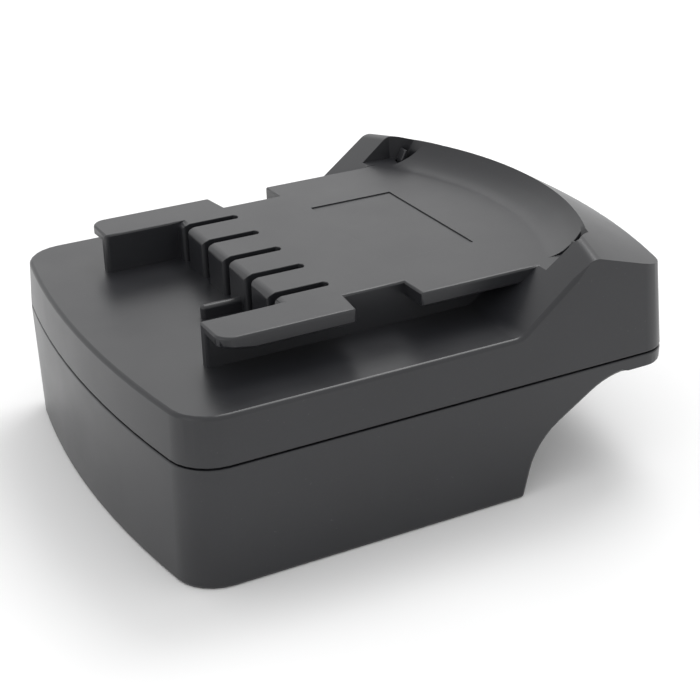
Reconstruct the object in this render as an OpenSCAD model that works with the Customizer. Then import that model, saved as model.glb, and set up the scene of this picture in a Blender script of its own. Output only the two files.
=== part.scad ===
// Battery adapter for a slide-on cordless tool.
// The upper shell carries the rail and contacts that enter the tool's foot; the lower shell is the
// socket that takes another maker's slide pack. X runs from the front (insertion) end to the rear
// hump, Y across, Z up; the origin is the centre of the footprint on the standing surface.

/* [Case] */
// Length from the front apex to the rear apex
case_l = 91.4; // [88:0.2:96]
// Width at the parting line
case_w = 76; // [74:0.5:80]
// Height of the parting line between the shells
seam_z = 20.6; // [19.6:0.1:22]
// Height of the deck above the parting line
deck_h = 8.1; // [7.8:0.1:9]
// Height of the shadow gap along the parting line
seam_gap = 0.3; // [0.2:0.05:0.5]
// Wall thickness of the upper shell
wall = 2; // [1.6:0.1:2.2]
// Wall thickness of the lower shell
skirt_wall = 2.4; // [2:0.1:2.8]
// Plan radius of the front end
front_r = 200; // [150:5:300]
// Plan radius of the rear end
rear_r = 130; // [110:5:180]
// Plan radius of the front corners
front_corner_r = 7; // [6:0.5:9]
// Plan radius of the rear corners
rear_corner_r = 5; // [4.5:0.5:7]
// Mould draft of the outer walls in degrees
draft = 3.4; // [1:0.2:4]

/* [Tool rail] */
// Width over the rail flanges
rail_w = 56; // [54:0.5:58]
// Height of the rail top above the deck
rail_h = 6.7; // [6.5:0.1:7.5]
// Thickness of the flanges
flange_t = 2.4; // [2:0.1:2.5]
// Width of the web under the flanges
web_w = 45; // [44:0.5:46]
// Length of the rail from the prong tips to the foot of the slopes
rail_l = 45.2; // [43:0.2:47]
// Length of the prongs in front of the contact block
prong_l = 13; // [11:0.5:14]
// Thickness of the prongs
prong_t = 2.4; // [2:0.1:3]
// Distance from the flange notch to the foot of the slopes
notch_back = 12; // [10:0.2:14]
// Length of the flange notch
notch_l = 11.2; // [9:0.2:13]
// Distance from the side of the web to the outer contact slot
slot_edge = 5.45; // [5.2:0.05:5.8]
// Width of a contact slot
slot_w = 1.8; // [1.4:0.1:2]
// Length of a contact slot along the top
slot_l = 9.8; // [8.5:0.1:11]
// Width of a slot's rounded mouth
slot_mouth = 3.4; // [2.8:0.1:3.8]
// Depth of the bare panel sunk into the rail top
panel_depth = 0.2; // [0.15:0.05:0.6]

/* [Hump] */
// Angle of the tower slopes above the deck in degrees
slope_deg = 37; // [35:0.5:39]
// Distance from the rear apex to the foot of the slopes
slope_back = 33; // [32:0.2:34]
// Distance from the rear apex to the crest of the scoop
crest_back = 7.6; // [7:0.1:8.4]
// Plan radius of the crest
crest_r = 58; // [54:1:64]
// Height of the crest above the rail top
crest_h = 3.7; // [3.2:0.1:4.2]
// Height of the rear rim above the deck
rim_h = 5.8; // [5.4:0.1:6.4]
// Concave radius that blends the rail top into the crest
scoop_r = 8; // [7:0.5:12]
// Rounding of the tower ridges
ridge_r = 2.5; // [1.5:0.1:3]
// Distance from the centre line to the towers' inner walls
tower_y = 30.3; // [30:0.1:31]
// Width of the latch pockets beside the towers
pocket_w = 4.1; // [4:0.1:4.6]

/* [Battery socket] */
// Overhang of the rear end behind the foot
foot_back = 31.4; // [30:0.2:33]
// Angle of the cut-away behind the foot in degrees
cut_deg = 34; // [32:0.5:36]
// Rounding at both ends of the cut-away
cut_r = 12; // [10:0.5:13]
// Thickness of the rear lip
lip_t = 2.15; // [2:0.05:2.6]
// Thickness of the socket ceiling
ceiling_t = 2; // [1.8:0.1:2.2]
// Depth of the board space below the parting line
board_space = 2.1; // [2:0.1:2.4]
// Gap between the battery guide ledges
guide_gap = 59; // [57:0.5:61]
// Height of the guide ledges above the standing surface
guide_z = 2; // [1.5:0.1:3]
// Thickness of the guide ledges
guide_t = 3; // [2.5:0.1:3.5]

/* [Latch] */
// Travel of the release button and of the latch teeth
latch_travel = 3; // [2.6:0.1:3]
// Width of the release button
button_w = 24; // [20:0.5:26]
// Height of the release button
button_h = 8; // [7:0.1:8.4]
// Outside diameter of the latch springs
spring_d = 5; // [4.6:0.1:5.4]
// Wire diameter of the latch springs
spring_wire = 0.6; // [0.5:0.05:0.7]
// Turns of each latch spring
spring_turns = 4; // [3:1:4]

/* [Electrics] */
// Thickness of the circuit board
board_t = 1.6; // [1.2:0.2:1.6]
// Thickness of the contact strip
strip_t = 0.8; // [0.6:0.1:1]
// Diameter of the power wires
power_wire_d = 1.8; // [1.4:0.1:2]
// Diameter of the signal wires
signal_wire_d = 1.2; // [1:0.1:1.4]

/* [Fits] */
// Gap between pieces that slide past each other
slide_gap = 0.3; // [0.2:0.05:0.35]
// Gap between pieces that are fitted together once
fit_gap = 0.1; // [0.05:0.01:0.15]

/* [Hidden] */

$fn = 48;
eps = 0.01;
reach = 120;

charcoal = [0.16, 0.165, 0.17];
black = [0.07, 0.07, 0.075];
board_green = [0.06, 0.3, 0.16];
nickel = [0.74, 0.73, 0.7];
steel = [0.6, 0.61, 0.63];

// Case stations
front_x = -case_l / 2;
rear_x = case_l / 2;
half_w = case_w / 2;
deck_z = seam_z + deck_h;
rail_z = deck_z + rail_h;
flange_z = rail_z - flange_t;
roof_z = deck_z - wall;
rail_roof_z = rail_z - wall;
top_z = rail_z + crest_h + 8;
arc_steps = 12;
corner_steps = 6;

// Rail stations
slope_x = rear_x - slope_back;
prong_x = slope_x - rail_l;
prong_gap = web_w - 2 * prong_t;
block_x = prong_x + prong_l;
notch_x = slope_x - notch_back - notch_l;
slot_x = block_x + slot_l;
slot_count = 5;
slot_span = web_w - 2 * slot_edge;
slot_pitch = slot_span / (slot_count - 1);
notch_slant = 0.7;
tooth_round = 1.2;
// Run and fall of a contact tooth's front edge before it is rounded, and its start above the rail top
tooth_fall = [2.2, 0.8];
tooth_over = 0.3;
flange_corner_r = 2.5;
lead_in_l = 5.5;
lead_in_h = 0.9;
panel_l = 15.5;
panel_w = 28.2;
panel_x = notch_x + notch_l + 2.2;
coding_rib = [6.8, 1.5, 2.2];
coding_rib_y = -5.2;

// Hump stations
slope_rise = tan(slope_deg);
slope_foot_r = 3;
slope_skin = 3.2;
crest_x = rear_x - crest_back;
crest_z = rail_z + crest_h;
rim_z = deck_z + rim_h;
scoop_axis_x = crest_x - crest_r;
scoop_over = 1.2;
scoop_margin = 0.2;
loft_steps = 36;
band_steps = 5;
loft_start_x = slope_x - 4;
// The pocket floors lie a hair above the rail top, so they run out in the foot of the scoop
pocket_floor_z = rail_z + 0.05;
pocket_y = tower_y - pocket_w;
pocket_front_x = slope_x + rail_h / slope_rise - 0.4;
pocket_back_x = crest_x - 8.4;
pocket_turn = [2.2, 1.5];
pocket_skew = 0.6;
// Growth of a pocket with height: back wall rearwards, back wall inwards, side wall outwards
pocket_lean = [0.45, 0.3, 0.07];

// Socket stations
foot_x = rear_x - foot_back;
foot_lean = 0.19;
lip_z = seam_z - lip_t;
floor_z = seam_z - board_space;
ceiling_z = floor_z - ceiling_t;
cut_knee_z = 9.7;
cut_knee_x = foot_x + foot_lean * cut_knee_z;
cut_top_x = cut_knee_x + (lip_z - cut_knee_z) / tan(cut_deg);
space_end_x = cut_top_x - 3;
seam_depth = 0.7;
tongue_h = 1.4;
tongue_t = 1;
tongue_inset = wall + fit_gap + tongue_h * tan(draft);
catch_slot = [5, 26];
catch_x = cut_top_x + 6;

// Screws: shank radius, head radius, head height
case_screw = [1.45, 2.6, 1.8];
small_screw = [1, 1.9, 1.3];
case_boss_r = 3.1;
boss_root = 0.5;
small_boss_r = 2.2;
case_screw_l = 8.5;
// Case screws: place, then the heights of the boss foot, the boss top and the sunk head seat
case_sink = case_screw[2] + slide_gap;
case_post_h = 2.4;
case_post_r = case_screw[1] + slide_gap + 0.9;
mid_screw_x = slope_x + 5.6;
mid_boss_z = roof_z + slope_rise * (mid_screw_x - case_boss_r - slope_x);
case_points = [[front_x + 9.5, half_w - 11, floor_z + case_post_h, roof_z, ceiling_z + case_sink],
    [mid_screw_x, half_w - 12, floor_z + case_post_h, mid_boss_z, ceiling_z + case_sink],
    [rear_x - 9.3, half_w - 11, seam_z + case_post_h, rail_roof_z, lip_z + case_sink]];

// Board and contacts
board_z = floor_z + 1.8;
board_top = board_z + board_t;
board_x = [block_x - 1.5, mid_screw_x - case_post_r - 1.7];
board_half_w = web_w / 2 + 4.5;
board_hole_inset = 3;
fork_root_x = slot_x + 1.6;
fork_root = [2.4, 3.2];
// The carrier runs on behind the forks for its screws, and the power parts stand clear of its end
carrier_tail = 6.2;
carrier_x = [block_x + wall + slide_gap, fork_root_x + fork_root[0] + carrier_tail];
transistor_x = carrier_x[1] + 1.3;
board_points = [for (x = [board_x[0] + board_hole_inset, board_x[1] - board_hole_inset])
    for (s = [-1, 1]) [x, s * (board_half_w - board_hole_inset)]];
carrier_z = board_top + 2;
carrier_t = 2;
carrier_half_w = web_w / 2 - wall - slide_gap;
carrier_wall = 1.2;
carrier_points = [for (s = [-1, 1]) [carrier_x[1] - 2.4, s * 1.5 * slot_pitch]];
carrier_screw_l = 6;
fork_leaf = 0.5;
carrier_cheek_y = slot_span / 2 + fork_root[1] / 2 + fork_leaf + fit_gap;
fork_top_z = rail_roof_z - 1.9;
fork_leg_w = 2.4;

// Terminal block and blades
terminal_x = [front_x + 5.5, front_x + 17.5];
terminal_half_w = half_w - 15;
terminal_z = 7.5;
neck_inset = 2;
neck_half_w = terminal_half_w - 6;
blade_z = [9.5, 14.5];
blade_tip_x = terminal_x[1] + 12;
blade_bevel = 1.5;
blade_leg_x = [terminal_x[0] + 4.2, terminal_x[0] + 7.7];
blade_top_z = floor_z + 4.2;
power_blade_y = neck_half_w - 2;
signal_blade_y = power_blade_y / 3;
terminal_points = [for (s = [-1, 1]) [(terminal_x[0] + terminal_x[1]) / 2, s * (terminal_half_w - 3)]];
terminal_screw_l = 7;

// Latch
bar_top_z = rail_roof_z - slide_gap;
bar_t = 2.8;
bar_z = bar_top_z - bar_t;
tooth_t = 1.3;
tooth_w = 1.9;
tooth_land = 0.4;
tooth_margin = slide_gap + 0.15;
tooth_x = [pocket_back_x - tooth_margin - tooth_t, pocket_back_x - tooth_margin];
tooth_y = [pocket_y + tooth_margin, pocket_y + tooth_margin + tooth_w];
tooth_h = latch_travel - 0.8;
bar_x = [tooth_x[0] - slide_gap, tooth_x[0] - slide_gap + spring_d + 0.1];
bar_half_w = tooth_y[1];
wedge_x = bar_x[1] + latch_travel - 0.4;
wedge_y = 8;
wedge_w = 5;
button_mid_z = seam_z + 7;
button_z = [button_mid_z - button_h / 2, button_mid_z + button_h / 2];
button_flange_t = 1.6;
button_rim = 1.4;
button_flange_x = rear_x - wall - slide_gap - (button_w / 2 + button_rim) ^ 2 / (2 * (rear_r - wall))
    - (button_z[1] + button_rim - seam_z) * tan(draft);
dish_r = 22;
dish_depth = 0.9;
retainer_z = seam_z + 0.1;
retainer_t = 2.4;
retainer_x = [bar_x[0] - 5, bar_x[1] + 1.5];
retainer_points = [for (s = [-1, 1]) [bar_x[0] - 2.6, s * 15]];
retainer_screw_l = 7;
spring_y = 20;
retainer_half_w = spring_y + spring_d / 2 + 0.5;
spring_x = (bar_x[0] + bar_x[1]) / 2;
spring_foot_z = retainer_z + retainer_t;
spring_l = bar_z - spring_foot_z;
spring_peg_r = spring_d / 2 - spring_wire - slide_gap;
spring_peg_h = 2;
spring_socket = 0.5;
spring_end_gap = 0.05;

// Points along an arc, both ends included
function arc(centre, r, from, to, steps) =
    [for (i = [0:steps]) let (a = from + (to - from) * i / steps) centre + r * [cos(a), sin(a)]];

function unit(v) = v / norm(v);

// A corner b between a and c replaced by an arc of radius r
function corner(a, b, c, r, steps) =
    let (u = unit(a - b), v = unit(c - b),
        half = acos(u * v) / 2,
        centre = b + unit(u + v) * r / sin(half),
        start = b + u * r / tan(half) - centre,
        end = b + v * r / tan(half) - centre,
        a0 = atan2(start[1], start[0]),
        turn = atan2(start[0] * end[1] - start[1] * end[0], start * end))
    arc(centre, r, a0, a0 + turn, steps);

// A path of [x, y, radius] corners as plain points; the ends keep their place
function rounded(path, steps = corner_steps) =
    [for (i = [0:len(path) - 1]) let (p = [path[i][0], path[i][1]])
        each path[i][2] == 0 ? [p] :
            corner([path[i - 1][0], path[i - 1][1]], p, [path[i + 1][0], path[i + 1][1]], path[i][2], steps)];

// One end of the plan outline: corner, end arc, corner; dir is 1 for the rear and -1 for the front
function end_points(dir, apex, r, rc, hw) =
    let (cx = apex - dir * r,
        a = asin((hw - rc) / (r - rc)),
        kx = cx + dir * (r - rc) * cos(a),
        ky = hw - rc,
        turn = dir > 0 ? 0 : 180)
    concat(arc([kx, -dir * ky], rc, turn - 90, turn - a, corner_steps),
        [for (i = [1:arc_steps - 1]) let (t = turn - a + 2 * a * i / arc_steps) [cx + r * cos(t), r * sin(t)]],
        arc([kx, dir * ky], rc, turn + a, turn + 90, corner_steps));

function outline(inset) = concat(
    end_points(1, rear_x - inset, rear_r - inset, rear_corner_r - inset, half_w - inset),
    end_points(-1, front_x + inset, front_r - inset, front_corner_r - inset, half_w - inset));

// Plan scale at a height, from the draft on both sides of the parting line
function plan_scale(z) =
    let (shrink = abs(z - seam_z) * tan(draft))
    [z > seam_z ? 1 - shrink / rear_x : 1, 1 - shrink / half_w];

// A skin over equal rings of points, each turning anticlockwise about the way the rings advance
module loft(rings) {
    n = len(rings[0]);
    last = (len(rings) - 1) * n;
    walls = [for (i = [0:len(rings) - 2]) for (j = [0:n - 1])
        let (a = i * n + j, b = i * n + (j + 1) % n)
        each [[a, a + n, b], [b, a + n, b + n]]];
    caps = [[for (j = [0:n - 1]) j], [for (j = [n - 1:-1:0]) last + j]];
    polyhedron(points = [for (ring = rings) each ring], faces = concat(walls, caps));
}

// A round bar along a route; side gives a direction square to the route at each point
function tube_rings(route, side, r, facets) = [for (i = [0:len(route) - 1])
    let (ahead = unit(route[min(i + 1, len(route) - 1)] - route[max(i - 1, 0)]),
        across = unit(side[i] - ahead * (ahead * side[i])))
    [for (j = [0:facets - 1]) let (a = 360 * j / facets)
        route[i] + r * (cos(a) * across + sin(a) * cross(ahead, across))]];

// The drafted case through a list of heights, inset from the outer faces
module case_block(heights, inset = 0) {
    loft([for (z = heights) let (k = plan_scale(z)) [for (p = outline(inset)) [p[0] * k[0], p[1] * k[1], z]]]);
}

// A prism across the case whose section is given in X and Z
module across(points, half) {
    translate([0, half, 0])
        rotate([90, 0, 0])
            linear_extrude(height = 2 * half)
                polygon(points);
}

module block(x, y, z) {
    translate([x[0], y[0], z[0]])
        cube([x[1] - x[0], y[1] - y[0], z[1] - z[0]]);
}

module both_sides() {
    children();
    mirror([0, 1, 0])
        children();
}

module at_points(points) {
    for (p = points)
        translate([p[0], p[1], 0])
            children();
}

module rod(r, z0, z1) {
    translate([0, 0, z0])
        cylinder(r = r, h = z1 - z0);
}

all_case_points = [for (p = case_points) for (s = [-1, 1]) [p[0], s * p[1], p[2], p[3], p[4]]];

// Hump: one XZ section per Y station runs deck, slope, rounded ridge and falling rear band
function crest_at(y) = crest_x - crest_r + sqrt(crest_r ^ 2 - y ^ 2);
function rim_at(y) = rear_x - rear_r + sqrt(rear_r ^ 2 - y ^ 2);

function hump_section(y) =
    let (fall = (crest_z - rim_z) / (rim_at(y) - crest_at(y)),
        ridge_x = (crest_z - deck_z + fall * crest_at(y) + slope_rise * slope_x) / (slope_rise + fall),
        ridge_z = deck_z + slope_rise * (ridge_x - slope_x),
        band_step = (rear_x + 1 - ridge_x) / band_steps)
    rounded(concat([[loft_start_x, deck_z, 0], [slope_x, deck_z, slope_foot_r], [ridge_x, ridge_z, ridge_r]],
        [for (i = [1:band_steps]) [ridge_x + i * band_step, ridge_z - i * band_step * fall, 0]]));

// Everything above the lofted hump surface
module above_hump() {
    loft([for (i = [0:loft_steps]) let (y = (half_w + 1) * (1 - 2 * i / loft_steps))
        [for (p = concat(hump_section(y), [[rear_x + 1, top_z + 4], [loft_start_x, top_z + 4]]))
            [p[0], y, p[1]]]]);
    block([-reach, loft_start_x + 1], [-reach, reach], [deck_z, top_z + 4]);
}

// One revolved cut trims the rail top flat and sweeps up behind it to the crest
module scoop() {
    rise_run = sqrt(scoop_r ^ 2 - (scoop_r - crest_h) ^ 2);
    over_run = rise_run + scoop_over;
    end_angle = asin(over_run / scoop_r);
    blend = [for (i = [0:8]) let (a = end_angle * i / 8)
        [crest_r - rise_run + scoop_r * sin(a), rail_z + scoop_r * (1 - cos(a))]];
    intersection() {
        translate([scoop_axis_x, 0, 0])
            rotate_extrude($fn = 180)
                polygon(concat([[0, rail_z]], blend, [[crest_r + scoop_over, top_z + 2], [0, top_z + 2]]));
        block([-reach, reach], [-rail_w / 2 - scoop_margin, rail_w / 2 + scoop_margin], [0, reach]);
    }
}

// The two pockets between the scoop and the towers open upwards; their back corners turn inwards
function pocket_ring(h) =
    let (side_y = tower_y + pocket_lean[2] * h,
        back_x = pocket_back_x + pocket_lean[0] * h,
        inner_y = pocket_y - pocket_lean[1] * h)
    [for (p = [[pocket_front_x, inner_y], [back_x + pocket_skew, inner_y],
        [back_x, tower_y - pocket_turn[1] - pocket_lean[1] * h],
        [pocket_back_x - pocket_turn[0], side_y], [pocket_front_x, side_y]])
        [p[0], p[1], pocket_floor_z + h]];

module pockets() {
    both_sides()
        loft([pocket_ring(0), pocket_ring(top_z - pocket_floor_z)]);
}

// Rail: web and overhanging flanges, opened by the space between the prongs and the side notches
module rail() {
    rail_end_x = slope_x + rail_h / slope_rise + 6;
    difference() {
        union() {
            block([prong_x, rail_end_x], [-web_w / 2, web_w / 2], [deck_z - 1, rail_z + 1]);
            translate([0, 0, flange_z])
                linear_extrude(height = flange_t + 1)
                    polygon(rounded([[rail_end_x, -rail_w / 2, 0],
                        [prong_x, -rail_w / 2, flange_corner_r],
                        [prong_x, rail_w / 2, flange_corner_r],
                        [rail_end_x, rail_w / 2, 0]]));
        }
        block([-reach, block_x], [-prong_gap / 2, prong_gap / 2], [deck_z, reach]);
        both_sides()
            translate([0, 0, deck_z])
                linear_extrude(height = reach)
                    polygon([[notch_x + notch_slant, web_w / 2], [notch_x, rail_w / 2],
                        [notch_x, rail_w], [notch_x + notch_l, rail_w], [notch_x + notch_l, web_w / 2]]);
        both_sides()
            translate([0, (web_w + rail_w) / 4 + 1, 0])
                across([[prong_x - 1, flange_z - 1], [prong_x + lead_in_l, flange_z - 1],
                    [prong_x + lead_in_l, flange_z], [prong_x, flange_z + lead_in_h],
                    [prong_x - 1, flange_z + lead_in_h]], (rail_w - web_w) / 4 + 1);
        panel_recess();
    }
    block([block_x - coding_rib[0], block_x + 1],
        [coding_rib_y - coding_rib[1] / 2, coding_rib_y + coding_rib[1] / 2],
        [deck_z - 1, deck_z + coding_rib[2]]);
}

module panel_recess() {
    block([panel_x, panel_x + panel_l], [-panel_w / 2, panel_w / 2], [rail_z - panel_depth, reach]);
}

// Contact slots: rounded at the mouth and pointed at the closed end, under a rounded front edge
module contact_slots() {
    mouth_r = (slot_mouth - slot_w) / 2;
    point = slot_w / 2;
    side = concat([[block_x - 1, slot_mouth / 2]],
        arc([block_x + mouth_r, slot_mouth / 2], mouth_r, 180, 270, 4),
        [[slot_x - point / 2, slot_w / 2], [slot_x, point / 3]]);
    for (i = [0:slot_count - 1])
        translate([0, i * slot_pitch - slot_span / 2, deck_z])
            linear_extrude(height = reach)
                polygon(concat(side, [for (j = [len(side) - 1:-1:0]) [side[j][0], -side[j][1]]]));
    edge_z = rail_z + tooth_over - tooth_fall[1];
    edge_end = [block_x + tooth_fall[0], rail_z + tooth_over];
    edge = corner([block_x, deck_z], [block_x, edge_z], edge_end, tooth_round, corner_steps);
    across(concat([[block_x - 1, edge[0][1]]], edge, [edge_end, [block_x - 1, edge_end[1]]]), prong_gap / 2);
}

// The space inside: flat under the deck, rising under the slopes and full height under the rail
module upper_hollow() {
    intersection() {
        case_block([seam_z - 1, seam_z, roof_z, rail_roof_z + 1], wall);
        across([[-reach, seam_z - 2], [reach, seam_z - 2], [reach, rail_roof_z],
            [slope_x + (rail_roof_z + slope_skin - deck_z) / slope_rise, rail_roof_z],
            [slope_x + (roof_z + slope_skin - deck_z) / slope_rise, roof_z], [-reach, roof_z]], half_w + 1);
    }
    block([block_x + wall, crest_x], [-web_w / 2 + wall, web_w / 2 - wall], [seam_z, rail_roof_z]);
}

// A shadow gap around the foot of the upper shell
module seam_groove() {
    difference() {
        case_block([seam_z - 1, seam_z, seam_z + seam_gap], -1);
        case_block([seam_z - 2, seam_z, seam_z + seam_gap + 1], seam_depth);
    }
}

module tooth_windows() {
    both_sides()
        block([tooth_x[0] - slide_gap, tooth_x[1] + slide_gap],
            [tooth_y[0] - slide_gap, tooth_y[1] + slide_gap], [rail_roof_z - 1, pocket_floor_z + 1]);
}

module button_window() {
    block([button_flange_x, reach], [-button_w / 2 - slide_gap, button_w / 2 + slide_gap],
        [button_z[0] - slide_gap, button_z[1] + slide_gap]);
}

module upper_shell() {
    color(charcoal)
        difference() {
            union() {
                difference() {
                    union() {
                        difference() {
                            case_block([seam_z, top_z]);
                            above_hump();
                        }
                        rail();
                    }
                    scoop();
                    pockets();
                    upper_hollow();
                    contact_slots();
                    tooth_windows();
                    button_window();
                    seam_groove();
                }
                for (p = all_case_points)
                    translate([p[0], p[1], 0])
                        rod(case_boss_r, p[2], p[3] + boss_root);
                at_points(carrier_points)
                    rod(small_boss_r, carrier_z + carrier_t, rail_roof_z + boss_root);
                at_points(retainer_points)
                    rod(small_boss_r, retainer_z + retainer_t, rail_roof_z + boss_root);
            }
            for (p = all_case_points)
                translate([p[0], p[1], 0])
                    rod(case_screw[0] + fit_gap / 2, p[2] - 1, p[4] + case_screw_l + 0.5);
            at_points(carrier_points)
                rod(small_screw[0] + fit_gap / 2, carrier_z, carrier_z + carrier_screw_l + 0.5);
            at_points(retainer_points)
                rod(small_screw[0] + fit_gap / 2, retainer_z, retainer_z + retainer_screw_l + 0.5);
        }
}

// The side outline of the lower shell: flat foot, leaning wall, cut-away and thin rear lip
module foot_profile() {
    across(rounded([[-reach, seam_z, 0], [-reach, 0, 0], [foot_x, 0, 0],
        [cut_knee_x, cut_knee_z, cut_r], [cut_top_x, lip_z, cut_r],
        [reach, lip_z, 0], [reach, seam_z, 0]]), half_w + 1);
}

module guide_ledges() {
    intersection() {
        case_block([0, seam_z], skirt_wall / 2);
        foot_profile();
        both_sides()
            block([front_x, foot_x + 4], [guide_gap / 2, half_w], [guide_z, guide_z + guide_t]);
    }
}

module seam_tongue() {
    translate([0, 0, seam_z - 0.5])
        difference() {
            linear_extrude(height = tongue_h + 0.5)
                polygon(outline(tongue_inset));
            translate([0, 0, -1])
                linear_extrude(height = tongue_h + 3)
                    polygon(outline(tongue_inset + tongue_t));
            block([space_end_x, reach], [-reach, reach], [-1, reach]);
        }
}

module lower_shell() {
    color(charcoal)
        difference() {
            union() {
                difference() {
                    intersection() {
                        case_block([0, seam_z]);
                        foot_profile();
                    }
                    case_block([-1, ceiling_z], skirt_wall);
                    block([foot_x - 10, reach], [-half_w + 3 * skirt_wall, half_w - 3 * skirt_wall],
                        [-1, ceiling_z]);
                    intersection() {
                        translate([0, 0, floor_z])
                            linear_extrude(height = board_space + 1)
                                polygon(outline(tongue_inset + tongue_t));
                        block([-reach, space_end_x], [-reach, reach], [0, reach]);
                    }
                }
                guide_ledges();
                seam_tongue();
                at_points(board_points)
                    rod(small_boss_r, floor_z - 1, board_z);
                for (p = all_case_points)
                    translate([p[0], p[1], 0])
                        rod(case_post_r, p[4] - case_sink, p[2]);
            }
            for (p = all_case_points)
                translate([p[0], p[1], 0]) {
                    rod(case_screw[0] + 2 * fit_gap, p[4] - 1, p[2] + 1);
                    rod(case_screw[1] + slide_gap, p[4] - case_sink - 1, p[4]);
                }
            at_points(board_points)
                rod(small_screw[0] + fit_gap / 2, ceiling_z + 0.6, board_z + eps);
            block([terminal_x[0] + neck_inset - fit_gap, terminal_x[1] - neck_inset + fit_gap],
                [-neck_half_w - fit_gap, neck_half_w + fit_gap], [ceiling_z - 1, floor_z + 1]);
            at_points(terminal_points)
                rod(small_screw[0] + 2 * fit_gap, ceiling_z - 1, floor_z + 1);
            translate([catch_x, -catch_slot[1] / 2, lip_z - 1])
                cube([catch_slot[0], catch_slot[1], lip_t + 2]);
        }
}

// Tool side contacts: the row of holes that the contact legs pass through
module leg_holes(z) {
    for (i = [0:slot_count - 1])
        translate([fork_root_x, i * slot_pitch - slot_span / 2, 0])
            block([-fit_gap, fork_leg_w + fit_gap], [-strip_t / 2 - fit_gap, strip_t / 2 + fit_gap], z);
}

module contact_carrier() {
    color(black)
        difference() {
            union() {
                block(carrier_x, [-carrier_half_w, carrier_half_w], [carrier_z, carrier_z + carrier_t]);
                for (i = [0:slot_count - 2])
                    translate([0, (i + 0.5) * slot_pitch - slot_span / 2, 0])
                        block([carrier_x[0], fork_root_x + fork_root[0]], [-carrier_wall / 2, carrier_wall / 2],
                            [carrier_z, rail_roof_z - slide_gap]);
                both_sides()
                    block([carrier_x[0], fork_root_x + fork_root[0]], [carrier_cheek_y, carrier_half_w],
                        [carrier_z, rail_roof_z - slide_gap]);
            }
            leg_holes([carrier_z - 1, carrier_z + carrier_t + 1]);
            at_points(carrier_points)
                rod(small_screw[0] + 2 * fit_gap, carrier_z - 1, carrier_z + carrier_t + 1);
        }
}

// A stamped fork: two leaves that pinch behind the slot, a folded root and a leg down to the board
module tool_contact(index) {
    base_z = carrier_z + carrier_t;
    pinch_x = slot_x - slot_l * 0.45;
    mouth_x = block_x + wall + 1;
    leaf = rounded([[fork_root_x, fork_root[1] / 2, 0], [pinch_x, slot_w * 0.3, 3],
        [mouth_x, fork_root[1] / 2 - fork_leaf, 0]], 4);
    leaf_out = [for (i = [len(leaf) - 1:-1:0]) [leaf[i][0], leaf[i][1] + fork_leaf]];
    color(nickel)
        translate([0, index * slot_pitch - slot_span / 2, 0]) {
            both_sides()
                translate([0, 0, base_z])
                    linear_extrude(height = fork_top_z - base_z)
                        polygon(concat([[fork_root_x + fork_root[0], fork_root[1] / 2]], leaf, leaf_out,
                            [[fork_root_x + fork_root[0], fork_root[1] / 2 + fork_leaf]]));
            block([fork_root_x + fork_root[0] - strip_t, fork_root_x + fork_root[0]],
                [-fork_root[1] / 2 - fork_leaf, fork_root[1] / 2 + fork_leaf], [base_z, fork_top_z]);
            block([fork_root_x, fork_root_x + fork_leg_w], [-strip_t / 2, strip_t / 2],
                [board_z - 0.6, base_z + 2]);
        }
}

// Battery side terminals
module blade_shape(grow) {
    across([[blade_leg_x[0] - grow, blade_z[0] - grow], [blade_tip_x - blade_bevel, blade_z[0] - grow],
        [blade_tip_x, blade_z[0] + blade_bevel], [blade_tip_x, blade_z[1] - blade_bevel],
        [blade_tip_x - blade_bevel, blade_z[1] + grow], [blade_leg_x[1] + grow, blade_z[1] + grow],
        [blade_leg_x[1] + grow, blade_top_z], [blade_leg_x[0] - grow, blade_top_z]], strip_t / 2 + grow);
}

module blade(y) {
    color(nickel)
        translate([0, y, 0])
            blade_shape(0);
}

module terminal_block() {
    color(black)
        difference() {
            union() {
                block(terminal_x, [-terminal_half_w, terminal_half_w], [terminal_z, ceiling_z]);
                block([terminal_x[0] + neck_inset, terminal_x[1] - neck_inset], [-neck_half_w, neck_half_w],
                    [ceiling_z - 1, floor_z + 1]);
            }
            for (y = [-power_blade_y, -signal_blade_y, signal_blade_y, power_blade_y])
                translate([0, y, 0])
                    blade_shape(fit_gap);
            at_points(terminal_points)
                rod(small_screw[0] + fit_gap / 2, floor_z - terminal_screw_l - 0.5, floor_z);
        }
}

// Board and its components
module circuit_board() {
    color(board_green)
        difference() {
            block(board_x, [-board_half_w, board_half_w], [board_z, board_top]);
            leg_holes([board_z - 1, board_top + 1]);
            at_points(board_points)
                rod(small_screw[0] + 2 * fit_gap, board_z - 1, board_top + 1);
        }
}

// Component sizes along X, Y and Z; the power parts stand behind the carrier, between the contact legs
transistor = [board_x[1] - transistor_x - 2, slot_pitch - 1.8, 2.3];
transistor_tab = [2.4, slot_pitch - 3.6, 0.5];
capacitor_r = 4;
capacitor_h = 8;
chip = [4.9, 3.9, 1.4];
chip_leg = [0.4, 1.1, 0.4];
chip_leg_pitch = 1.27;
fuse_size = [6.5, 2.8, 1.3];
fuse_cap_l = 1.4;
resistor = [1.6, 0.8, 0.5];
resistor_pitch = 2.5;

module on_board(x, y, size) {
    block([x - size[0] / 2, x + size[0] / 2], [y - size[1] / 2, y + size[1] / 2],
        [board_top, board_top + size[2]]);
}

module power_transistors() {
    color(black)
        both_sides() {
            on_board(transistor_x + transistor[0] / 2, 1.5 * slot_pitch, transistor);
            on_board(transistor_x - transistor_tab[0] / 2, 1.5 * slot_pitch, transistor_tab);
        }
}

module control_chip() {
    chip_x = fork_root_x - 1.2 * chip[0];
    color(black)
        on_board(chip_x, 0, chip);
    color(nickel)
        for (s = [-1, 1], i = [0:3])
            on_board(chip_x + (i - 1.5) * chip_leg_pitch, s * (chip[1] + chip_leg[1]) / 2, chip_leg);
}

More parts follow.
